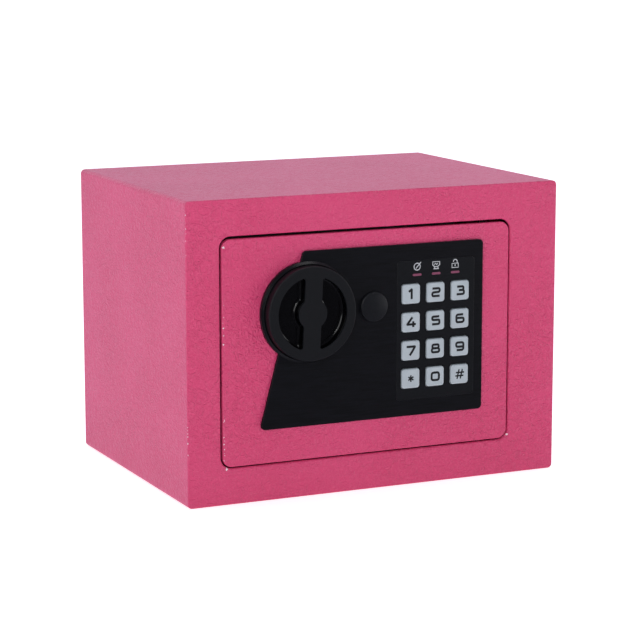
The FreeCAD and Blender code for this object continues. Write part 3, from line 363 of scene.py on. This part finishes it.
def cell_jacket():
    """AA cell: dark film with a copper-coloured band at the button end, told apart by height."""
    g = Graph("cell_jacket")
    place = g.place()
    height = g.split(place)["Z"]
    middle = sum(corner.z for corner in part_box("batteries")) / 2
    away = g.math("ABSOLUTE", g.math("SUBTRACT", height, middle))
    band = g.ramp(away, 14.5 * MM, 15.0 * MM)
    bare = g.ramp(away, 24.2 * MM, 24.5 * MM)
    film = g.noise(place, 0.6 * MM, detail=1.0)
    colour = g.mix(band, rgb(0.012, 0.013, 0.016), rgb(0.45, 0.17, 0.06))
    g.set(Base_Color=g.mix(bare, colour, rgb(0.55, 0.55, 0.55)))
    g.set(Roughness=g.ramp(film, 0.2, 0.8, 0.22, 0.34), Normal=g.bump(film, 0.01 * MM, 0.4))
    g.set(Metallic=g.math("MULTIPLY", g.math("MAXIMUM", band, bare), 0.9))
    return g.material


def winding():
    """Fine enamelled wire, wound round the upright bobbin."""
    g = Graph("winding")
    place = g.place()
    wave = g.node("TexWave", {"wave_type": "BANDS", "bands_direction": "Z"}, Vector=place, Scale=900.0)
    wave.inputs["Distortion"].default_value = 0.4
    turns = wave.outputs["Fac"]
    g.set(Base_Color=g.mix(turns, rgb(0.20, 0.055, 0.018), rgb(0.55, 0.20, 0.07)))
    g.set(Roughness=g.ramp(turns, 0.0, 1.0, 0.35, 0.25), Normal=g.bump(turns, 0.05 * MM, 0.8))
    g.set(Metallic=0.8)
    return g.material


def ribbon_grey():
    """Flat cable: parallel ridges with one marked edge."""
    g = Graph("ribbon_grey")
    place = g.place()
    wave = g.node("TexWave", {"wave_type": "BANDS", "bands_direction": "X"}, Vector=place, Scale=250.0)
    wires = wave.outputs["Fac"]
    marked_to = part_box("keypad_ribbon")[0].x + 1.0 * MM
    edge = g.ramp(g.split(place)["X"], marked_to, marked_to + 0.2 * MM)
    g.set(Base_Color=g.mix(edge, rgb(0.35, 0.02, 0.02), rgb(0.34, 0.34, 0.35)))
    g.set(Roughness=g.ramp(wires, 0.0, 1.0, 0.4, 0.5), Normal=g.bump(wires, 0.2 * MM, 0.8))
    return g.material


# ---------------------------------------------------------------- mesh helpers
SHARP_FROM_DEGREES = 40.0


def new_object(name, verts, faces, material, body, replaced):
    """A mesh piece that rides on a body and stands for the named CAD nodes."""
    mesh = bpy.data.meshes.new(name)
    mesh.from_pydata([tuple(v) for v in verts], [], faces)
    made = bmesh.new()
    made.from_mesh(mesh)
    bmesh.ops.recalc_face_normals(made, faces=made.faces)
    made.to_mesh(mesh)
    made.free()
    obj = bpy.data.objects.new(name, mesh)
    SCENE.collection.objects.link(obj)
    finish_piece(obj, material, body, replaced)


def finish_piece(obj, material, body, replaced=()):
    """Sets a piece's material and shading, says what it rides on, and hides the CAD nodes it stands for.
    """
    obj.data.materials.clear()
    obj.data.materials.append(material)
    obj.data.shade_smooth()
    obj.data.set_sharp_from_angle(angle=math.radians(SHARP_FROM_DEGREES))
    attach(obj, body)
    if replaced:
        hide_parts(*replaced)


def rounded_loop(low_x, high_x, low_z, high_z, radius, along=12, corner=8):
    """(x, z) points round a rounded rectangle, the same number whatever its size."""
    radius = max(radius, 0.01 * MM)
    centres = (
        (high_x - radius, low_z + radius, -90),
        (high_x - radius, high_z - radius, 0),
        (low_x + radius, high_z - radius, 90),
        (low_x + radius, low_z + radius, 180),
    )
    turned = []
    for x, z, start in centres:
        for k in range(corner + 1):
            angle = math.radians(start + 90 * k / corner)
            turned.append((x + radius * math.cos(angle), z + radius * math.sin(angle)))
    points = []
    per = corner + 1
    for side in range(4):
        points += turned[side * per : (side + 1) * per]
        x0, z0 = turned[(side + 1) * per - 1]
        x1, z1 = turned[((side + 1) * per) % len(turned)]
        points += [(x0 + (x1 - x0) * k / along, z0 + (z1 - z0) * k / along) for k in range(1, along)]
    return points


def loft(rings, around=False):
    """Vertices and faces of a skin through rings of equal length. around joins last to first."""
    count = len(rings[0])
    verts = [point for ring in rings for point in ring]
    faces = []
    steps = len(rings) if around else len(rings) - 1
    for r in range(steps):
        a, b = r * count, ((r + 1) % len(rings)) * count
        faces += [(a + k, a + (k + 1) % count, b + (k + 1) % count, b + k) for k in range(count)]
    if not around:
        last = (len(rings) - 1) * count
        faces += [tuple(reversed(range(count))), tuple(range(last, last + count))]
    return verts, faces


def at_depth(loop, depth):
    """A flat (x, z) loop as points at one depth."""
    return [(x, FRONT_Y + depth, z) for x, z in loop]


def smooth_path(points, radius, closed=False, steps=5):
    """A polyline's corners rounded off."""
    pts = [Vector(p) for p in points]
    count = len(pts)
    made = []
    for k, corner in enumerate(pts):
        if not closed and k in (0, count - 1):
            made.append(corner)
            continue
        before, after = pts[k - 1], pts[(k + 1) % count]
        room = min((before - corner).length, (after - corner).length) * 0.49
        cut = min(radius, room)
        start = corner + (before - corner).normalized() * cut
        end = corner + (after - corner).normalized() * cut
        for s in range(steps + 1):
            t = s / steps
            made.append((1 - t) ** 2 * start + 2 * t * (1 - t) * corner + t * t * end)
    return made


def print_strokes(name, strokes, centre, depth, width, material, body):
    """Thin raised print made of round-cornered strokes. A stroke is (points, closed), in metres."""
    curve = bpy.data.curves.new(name, "CURVE")
    curve.dimensions = "3D"
    curve.bevel_depth = width / 2
    curve.bevel_resolution = 2
    curve.use_fill_caps = True
    for points, closed in strokes:
        spline = curve.splines.new("POLY")
        spline.points.add(len(points) - 1)
        spline.use_cyclic_u = closed
        for point, (x, z) in zip(spline.points, points):
            point.co = (x, z, 0, 1)
    holder = bpy.data.objects.new(name + "_curve", curve)
    SCENE.collection.objects.link(holder)
    bpy.context.view_layer.update()
    mesh = bpy.data.meshes.new_from_object(holder.evaluated_get(bpy.context.evaluated_depsgraph_get()))
    bpy.data.objects.remove(holder)
    rise = 0.05 * MM
    flat = 2 * rise / width
    rows = ((1, 0, 0, centre[0]), (0, 0, flat, depth), (0, 1, 0, centre[1]), (0, 0, 0, 1))
    mesh.transform(Matrix(rows))
    mesh.name = name
    obj = bpy.data.objects.new(name, mesh)
    SCENE.collection.objects.link(obj)
    finish_piece(obj, material, body)


# ---------------------------------------------------------------- cabinet face
def cabinet_face(material):
    """The front sheet: crisp outer edge, and a lip that draws in slightly round the door opening."""
    outer_edge, lip_edge = 0.7 * MM, 1.0 * MM
    draw_in, lip_width = 0.28 * MM, 5.0 * MM
    steps = 5

    def opening(grow):
        low, high = OPENING_LOW, OPENING_HIGH
        return rounded_loop(
            low.x - grow, high.x + grow, low.z - grow, high.z + grow, OPENING_R + grow, 40, 10
        )

    def outside(shrink):
        return rounded_loop(
            FACE_LOW.x + shrink, FACE_HIGH.x - shrink, FACE_LOW.z + shrink, FACE_HIGH.z - shrink,
            BEND_R - shrink * 0.6, 40, 10,
        )

    def drawn(grow):
        return draw_in * max(0.0, 1 - grow / lip_width) ** 2

    rings = [at_depth(opening(0), FACE_T), at_depth(opening(0), drawn(0) + lip_edge)]
    for k in range(1, steps + 1):
        angle = math.radians(90 * k / steps)
        grow = lip_edge * (1 - math.cos(angle))
        rings.append(at_depth(opening(grow), drawn(grow) + lip_edge * (1 - math.sin(angle))))
    for grow in (1.6, 2.4, 3.4, 5.0, 7.0):
        rings.append(at_depth(opening(grow * MM), drawn(grow * MM)))
    inner, outer = opening(7.0 * MM), outside(outer_edge)
    for share in (0.2, 0.4, 0.6, 0.8, 1.0):
        loop = [(a + (c - a) * share, b + (d - b) * share) for (a, b), (c, d) in zip(inner, outer)]
        rings.append([soft_wave(p, share) for p in at_depth(loop, 0)])
    for k in range(1, steps + 1):
        angle = math.radians(90 * k / steps)
        shrink = outer_edge * (1 - math.sin(angle))
        rings.append(at_depth(outside(shrink), outer_edge * (1 - math.cos(angle))))
    rings.append(at_depth(outside(0), FACE_T))
    verts, faces = loft(rings, around=True)
    new_object("cabinet_face", verts, faces, material, "cabinet", ["front_frame"])


def soft_wave(point, share):
    """A point on the face moved by the slight unevenness of pressed sheet, none at the outer edge."""
    x, y, z = point
    lift = noise.noise(Vector((x * 22, 3.1, z * 22))) * 0.22 * MM * math.sin(math.pi * share)
    return (x, y + lift, z)


# ---------------------------------------------------------------- keys and their legends
def keycap(name, material):
    """A key with a bevelled rim, a shallow dished top and a hidden flange. Returns the dish's place."""
    low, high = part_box("key_" + name)
    x, z = (low.x + high.x) / 2, (low.z + high.z) / 2
    top, back = low.y - FRONT_Y, high.y - FRONT_Y
    flange, side = (high.x - low.x) / 2, 5.6 * MM
    flange_t, bevel, dish = 0.8 * MM, 0.75 * MM, 0.13 * MM

    def square(half, radius, depth):
        return at_depth(rounded_loop(x - half, x + half, z - half, z + half, radius, 4, 6), depth)

    rings = [square(flange, 1.0 * MM, back), square(flange, 1.0 * MM, back - flange_t)]
    rings += [square(side, 1.6 * MM, back - flange_t), square(side, 1.6 * MM, top + bevel)]
    for k in range(1, 6):
        angle = math.radians(90 * k / 5)
        inset = bevel * (1 - math.cos(angle))
        rings.append(square(side - inset, 1.6 * MM - inset * 0.5, top + bevel * (1 - math.sin(angle))))
    for inset, dip in ((1.05, 0.0), (1.35, 0.07), (2.0, 0.12), (3.6, 0.13), (4.8, 0.13)):
        rings.append(square(side - inset * MM, 1.2 * MM * (1 - inset / 6), top + dip * MM))
    verts, faces = loft(rings)
    body, cad_key = "button_" + name, "key_" + name
    new_object("keycap_" + name, verts, faces, material, body, [cad_key])
    return (x, z), FRONT_Y + top + dish


# Legends on a grid one unit wide and one high, with (points, closed, corner radius)
GLYPHS = {
    "1": [([(0.16, 0.80), (0.54, 1.12), (0.54, -0.15)], False, 0.04)],
    "2": [([(0.02, 1.0), (1.0, 1.0), (1.0, 0.52), (0.0, 0.48), (0.0, 0.0), (1.0, 0.0)], False, 0.22)],
    "3": [
        ([(0.06, 1.0), (0.92, 1.0), (0.92, 0.53), (0.30, 0.53)], False, 0.20),
        ([(0.30, 0.53), (1.0, 0.53), (1.0, 0.0), (0.0, 0.0)], False, 0.22),
    ],
    "4": [
        ([(0.66, 1.15), (-0.04, 0.24), (1.12, 0.24)], False, 0.04),
        ([(0.78, 0.62), (0.78, -0.15)], False, 0.0),
    ],
    "5": [([(0.96, 1.0), (0.02, 1.0), (0.02, 0.56), (1.0, 0.56), (1.0, 0.0), (0.0, 0.0)], False, 0.20)],
    "6": [([(0.92, 1.0), (0.0, 1.0), (0.0, 0.0), (1.0, 0.0), (1.0, 0.56), (0.06, 0.56)], False, 0.26)],
    "7": [([(-0.1, 1.0), (1.04, 1.0), (0.98, 0.86), (0.34, -0.14)], False, 0.10)],
    "8": [
        ([(0.08, 0.52), (0.08, 1.0), (0.92, 1.0), (0.92, 0.52)], True, 0.20),
        ([(0.0, 0.0), (0.0, 0.52), (1.0, 0.52), (1.0, 0.0)], True, 0.24),
    ],
    "9": [([(0.08, 0.0), (1.0, 0.0), (1.0, 1.0), (0.0, 1.0), (0.0, 0.44), (0.94, 0.44)], False, 0.26)],
    "0": [([(0.0, 0.0), (0.0, 1.0), (1.0, 1.0), (1.0, 0.0)], True, 0.30)],
    "hash": [
        ([(0.24, 0.02), (0.46, 0.98)], False, 0.0),
        ([(0.58, 0.02), (0.80, 0.98)], False, 0.0),
        ([(0.06, 0.33), (0.92, 0.33)], False, 0.0),
        ([(0.12, 0.66), (0.98, 0.66)], False, 0.0),
    ],
}
GLYPH_WIDTH, GLYPH_HEIGHT, GLYPH_STROKE = 4.7 * MM, 4.4 * MM, 1.35 * MM


def star_strokes(radius):
    """Three lines through the middle, which make six spokes."""
    strokes = []
    for angle in (90, 150, 210):
        x, z = radius * math.cos(math.radians(angle)), radius * math.sin(math.radians(angle))
        strokes.append(([(-x, -z), (x, z)], False))
    return strokes


def glyph_strokes(name):
    """A legend's strokes in metres about its own centre."""
    if name == "star":
        return star_strokes(1.9 * MM)
    grown = 1.3 if name == "hash" else 1.0
    wide, high = GLYPH_WIDTH * grown, GLYPH_HEIGHT * grown
    strokes = []
    for points, closed, radius in GLYPHS[name]:
        path = [((px - 0.5) * wide, (pz - 0.5) * high) for px, pz in points]
        if radius:
            path = smooth_path(path, radius * GLYPH_WIDTH, closed)
        strokes.append((path, closed))
    return strokes


def keypad(key_material, ink_material):
    """The twelve keys, each with its printed legend."""
    for name in KEY_NAMES:
        centre, depth = keycap(name, key_material)
        width = GLYPH_STROKE * (0.66 if name in ("star", "hash") else 1.0)
        print_strokes(
            "legend_" + name, glyph_strokes(name), centre, depth, width, ink_material,
            "button_" + name,
        )


# ---------------------------------------------------------------- status icons
def ring_points(radius, count=24):
    """Points round a circle about the middle."""
    return [
        (radius * math.cos(2 * math.pi * k / count), radius * math.sin(2 * math.pi * k / count))
        for k in range(count)
    ]


def icon_strokes():
    """Barred circle, flat battery and open padlock, in millimetres about their centres."""
    barred = [(ring_points(1.95), True), ([(-0.75, -0.95), (2.4, 2.5)], False)]
    battery = [
        ([(-2.2, 2.1), (2.2, 2.1), (2.2, 0.3), (1.0, -0.7), (-1.0, -0.7), (-2.2, 0.3)], True),
        ([(-1.2, 0.4), (-0.45, 1.2), (0.25, 0.4), (1.0, 1.2)], False),
        ([(-1.7, -1.9), (1.7, -1.9)], False),
        ([(-0.9, -0.7), (-1.3, -1.9)], False),
        ([(0.9, -0.7), (1.3, -1.9)], False),
    ]
    padlock = [
        ([(-2.0, -2.0), (2.0, -2.0), (2.0, 0.4), (-2.0, 0.4)], True),
        ([(-1.2, 1.3), (-1.0, 2.1), (-0.2, 2.6), (0.7, 2.5), (1.3, 1.7), (1.3, 0.4)], False),
        ([(0.0, -0.2), (0.0, -1.3)], False),
    ]
    return (barred, battery, padlock)


def status_icons(material):
    """One icon above each lamp, printed on the bezel."""
    low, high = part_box("indicator_lenses")
    half_lens, above, width = 2.75 * MM, 4.6 * MM, 0.54 * MM
    first, last = low.x + half_lens, high.x - half_lens
    for k, strokes in enumerate(icon_strokes()):
        centre = (first + (last - first) * k / 2, (low.z + high.z) / 2 + above)
        scaled = [([(px * MM, pz * MM) for px, pz in points], closed) for points, closed in strokes]
        name = f"icon_{k + 1}"
        print_strokes(name, scaled, centre, BEZEL_FRONT_Y, width, material, "door")


# ---------------------------------------------------------------- felt mat
def felt_mat(material):
    """The loose floor mat: soft edges, a slight ripple, and a punched hole over each floor anchor."""
    low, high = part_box("floor_mat")
    hole_r = 7.0 * MM
    anchors = next(m for m in frame["record"]["mounts"] if m["name"] == "floor_anchors")
    half_gap = anchors["dims"]["spacing_x_mm"] / 2 * MM
    place_y = anchors["pos_m"][1]
    cells_x, cells_y = 84, 60
    step_x, step_y = (high.x - low.x) / cells_x, (high.y - low.y) / cells_y
    skin = bmesh.new()
    grid = [
        [skin.verts.new((low.x + step_x * i, low.y + step_y * j, high.z)) for j in range(cells_y + 1)]
        for i in range(cells_x + 1)
    ]
    for i in range(cells_x):
        for j in range(cells_y):
            skin.faces.new((grid[i][j], grid[i + 1][j], grid[i + 1][j + 1], grid[i][j + 1]))
    for side in (-1, 1):
        middle = Vector((side * half_gap, place_y, high.z))
        inside = [v for v in skin.verts if (v.co - middle).length < hole_r - 0.2 * MM]
        bmesh.ops.delete(skin, geom=inside, context="VERTS")
        for v in skin.verts:
            away = v.co - middle
            if v.is_boundary and away.length < hole_r * 1.6:
                v.co = middle + away.normalized() * hole_r
    for v in skin.verts:
        edge = min(v.co.x - low.x, high.x - v.co.x, v.co.y - low.y, high.y - v.co.y)
        crown = min(1.0, edge / (1.6 * MM))
        ripple = noise.noise(Vector((v.co.x * 30, v.co.y * 30, 1.7)))
        v.co.z -= (1 - crown) ** 2 * 0.5 * MM + (0.5 + 0.5 * ripple) * 0.25 * MM * crown
    upper = list(skin.faces)
    grown = bmesh.ops.extrude_face_region(skin, geom=upper)
    for v in grown["geom"]:
        if isinstance(v, bmesh.types.BMVert):
            v.co.z = low.z
    bmesh.ops.recalc_face_normals(skin, faces=skin.faces)
    mesh = bpy.data.meshes.new("felt_mat")
    skin.to_mesh(mesh)
    skin.free()
    obj = bpy.data.objects.new("felt_mat", mesh)
    SCENE.collection.objects.link(obj)
    finish_piece(obj, material, "cabinet", ["floor_mat"])


# ---------------------------------------------------------------- finishes for the CAD pieces
def paint(material, *names):
    """Gives CAD pieces a material, leaving their meshes alone."""
    for name in names:
        slots = NODES[name].data.materials
        slots.clear()
        slots.append(material)


def paint_frame():
    """Gives every CAD piece that stays on show its finish."""
    cabinet_edge = (FACE_LOW.x, FRONT_Y)
    door_edge = (DOOR_LOW.x + 0.8 * MM, FRONT_Y)
    lip_chip = ((OPENING_LOW.x + 3.2 * MM, FRONT_Y + 0.2 * MM, OPENING_LOW.z - 0.1 * MM), 1.1 * MM)
    door_chip = ((DOOR_LOW.x + 1.1 * MM, FRONT_Y, DOOR_HIGH.z - 4.2 * MM), 0.9 * MM)
    far_chip = ((OPENING_HIGH.x - 0.3 * MM, FRONT_Y + 0.1 * MM, OPENING_LOW.z + 2.6 * MM), 1.1 * MM)
    coat = powder_coat("pink_powder_coat", [cabinet_edge], [lip_chip, far_chip])
    door_coat = powder_coat("pink_door_coat", [door_edge], [door_chip])
    steel = metal("zinc_plate", rgb(0.52, 0.53, 0.55), 0.28)
    bright = metal("bright_plate", rgb(0.66, 0.66, 0.68), 0.12, 0.12, (0.05, 1.0, 1.0))
    wire = metal("spring_wire", rgb(0.42, 0.43, 0.45), 0.25)
    brass = metal("brass", rgb(0.62, 0.42, 0.16), 0.22)
    black = moulded("black_plastic", rgb(0.012, 0.012, 0.013), 0.42)
    paint(coat, "outer_shell", "back_panel")
    paint(door_coat, "door_plate", "inner_cover")
    # Near-black, low-sheen paint on the door stop and hinge parts: black coating on the real parts, made
    # dark enough to be painted shade in the gap round the door.
    paint(
        satin_black("gap_shade_black_paint", rgb(0.0014, 0.0014, 0.0018), 0.55, 0.12, False),
        "door_stop", "hinge_brackets", "hinge_leaf", "hinge_pins",
    )
    collar_y = FRONT_Y - PANEL_T - 0.2 * MM
    panel = satin_black("panel_black", rgb(0.0014, 0.0015, 0.0028), 0.42, 0.26, True, collar_y)
    paint(panel, "control_panel")
    paint(satin_black("bezel_black", rgb(0.0030, 0.0034, 0.0046), 0.38, 0.3, False), "keypad_bezel")
    paint(satin_black("cap_black", rgb(0.0030, 0.0034, 0.0050), 0.40, 0.36, False), "override_cap")
    paint(knob_plastic(), "lock_knob")
    paint(lens_red(), "indicator_lenses")
    paint(
        steel, "panel_screws", "knob_spindle", "knob_cam", "bolt_carriage", "bolt_rivets",
        "carriage_studs", "bolt_guide", "solenoid_frame", "override_cam", "override_cam_screw",
        "keypad_board_screws", "cover_posts", "cover_screws",
    )
    paint(bright, "lock_bolts", "solenoid_plunger")
    paint(wire, "spindle_clip", "plunger_spring", "battery_contacts")
    paint(brass, "override_barrel", "override_nut", "override_plug")
    paint(winding(), "solenoid_coil")
    paint(moulded("silicone", rgb(0.50, 0.50, 0.47), 0.5), "keypad_membrane")
    paint(circuit_green(), "keypad_board", "main_board")
    paint(ribbon_grey(), "keypad_ribbon")
    paint(moulded("nylon", rgb(0.62, 0.60, 0.53), 0.4), "board_pillars")
    paint(moulded("button_red", rgb(0.42, 0.012, 0.010), 0.35), "reset_button")
    paint(black, "battery_tray", "battery_cover")
    paint(cell_jacket(), "batteries")
    paint(moulded("lead_red", rgb(0.36, 0.010, 0.008), 0.4), "wire_leads")
    return coat


# ---------------------------------------------------------------- set
def floor():
    """A wide pale disc that the safe stands on."""
    radius, sides = 14.0, 96
    loop = [(x, y, 0) for x, y in ring_points(radius, sides)]
    mesh = bpy.data.meshes.new("floor")
    mesh.from_pydata(loop, [], [tuple(range(sides))])
    obj = bpy.data.objects.new("floor", mesh)
    SCENE.collection.objects.link(obj)
    g = Graph("pale_floor")
    g.set(Base_Color=rgb(0.86, 0.86, 0.87), Roughness=0.7, Specular_IOR_Level=0.2)
    g.set(Emission_Color=rgb(1.0, 1.0, 1.0), Emission_Strength=0.66)
    obj.data.materials.append(g.material)
    obj.visible_glossy = False


def softbox(name, at, size, power):
    """An area light aimed at the middle of the safe."""
    light = bpy.data.lights.new(name, "AREA")
    light.shape = "RECTANGLE"
    light.size, light.size_y = size
    light.energy = power
    obj = bpy.data.objects.new(name, light)
    SCENE.collection.objects.link(obj)
    obj.location = at
    middle = (FACE_LOW + FACE_HIGH) / 2
    obj.rotation_euler = (middle - Vector(at)).to_track_quat("-Z", "Y").to_euler()


def surround():
    """White studio: bright behind and beside the safe, dimmer in front of it."""
    world = bpy.data.worlds.new("studio")
    world.use_nodes = True
    tree = world.node_tree
    background = tree.nodes["Background"]
    coords = tree.nodes.new("ShaderNodeTexCoord")
    axes = tree.nodes.new("ShaderNodeSeparateXYZ")
    tree.links.new(coords.outputs["Generated"], axes.inputs[0])
    product = tree.nodes.new("ShaderNodeMath")
    product.operation = "MULTIPLY"
    front_to_back = ("Y", (-0.75, 0.45, 0.10, 0.88))
    low_to_high = ("Z", (-0.45, 0.25, 1.06, 0.96))
    for k, (axis, numbers) in enumerate((front_to_back, low_to_high)):
        level = tree.nodes.new("ShaderNodeMapRange")
        level.interpolation_type = "SMOOTHSTEP"
        tree.links.new(axes.outputs[axis], level.inputs["Value"])
        for key, number in zip(RANGE_SOCKETS, numbers):
            level.inputs[key].default_value = number
        tree.links.new(level.outputs["Result"], product.inputs[k])
    tree.links.new(product.outputs[0], background.inputs["Strength"])
    background.inputs["Color"].default_value = rgb(0.97, 0.97, 1.15)
    SCENE.world = world


def lights():
    """A large key and fill in front, a top light, a rim light behind and a small one for glints."""
    softbox("key", (-1.00, -1.33, 0.55), (1.0, 1.0), 8.5)
    softbox("fill", (1.55, -1.00, 0.20), (0.8, 0.8), 6.6)
    softbox("top", (0.42, 0.02, 1.75), (0.8, 0.8), 6.0)
    softbox("rim", (-0.35, 1.16, 0.70), (0.4, 0.4), 0.8)
    softbox("spark", (-0.47, -1.42, 0.55), (0.06, 0.06), 0.7)


def camera():
    """Above and to the left of the door, at a long focal length."""
    azimuth, elevation, roll = math.radians(-24.90), math.radians(10.16), math.radians(-0.02)
    stand = Vector((-570.3, -1152.3, 327.3)) * MM + Vector((0, FRONT_Y, 0))
    data = bpy.data.cameras.new("camera")
    data.sensor_width = 36.0
    data.lens = 130.9
    data.clip_start, data.clip_end = 0.05, 60.0
    obj = bpy.data.objects.new("camera", data)
    SCENE.collection.objects.link(obj)
    level = math.cos(elevation)
    back = Vector((math.sin(azimuth) * level, -math.cos(azimuth) * level, math.sin(elevation)))
    right = Vector((0, 0, 1)).cross(back).normalized()
    up = back.cross(right)
    turned_right = right * math.cos(roll) + up * math.sin(roll)
    turned_up = up * math.cos(roll) - right * math.sin(roll)
    basis = Matrix((turned_right, turned_up, back)).transposed().to_4x4()
    obj.matrix_world = Matrix.Translation(stand) @ basis
    SCENE.camera = obj


# ---------------------------------------------------------------- build
SCENE.view_settings.view_transform = "Standard"
camera()
surround()
lights()
floor()
face_coat = paint_frame()
cabinet_face(face_coat)
felt_mat(felt())
keypad(key_plastic(), ink("legend_black", rgb(0.004, 0.004, 0.006)))
status_icons(ink("icon_grey", rgb(0.50, 0.52, 0.54)))
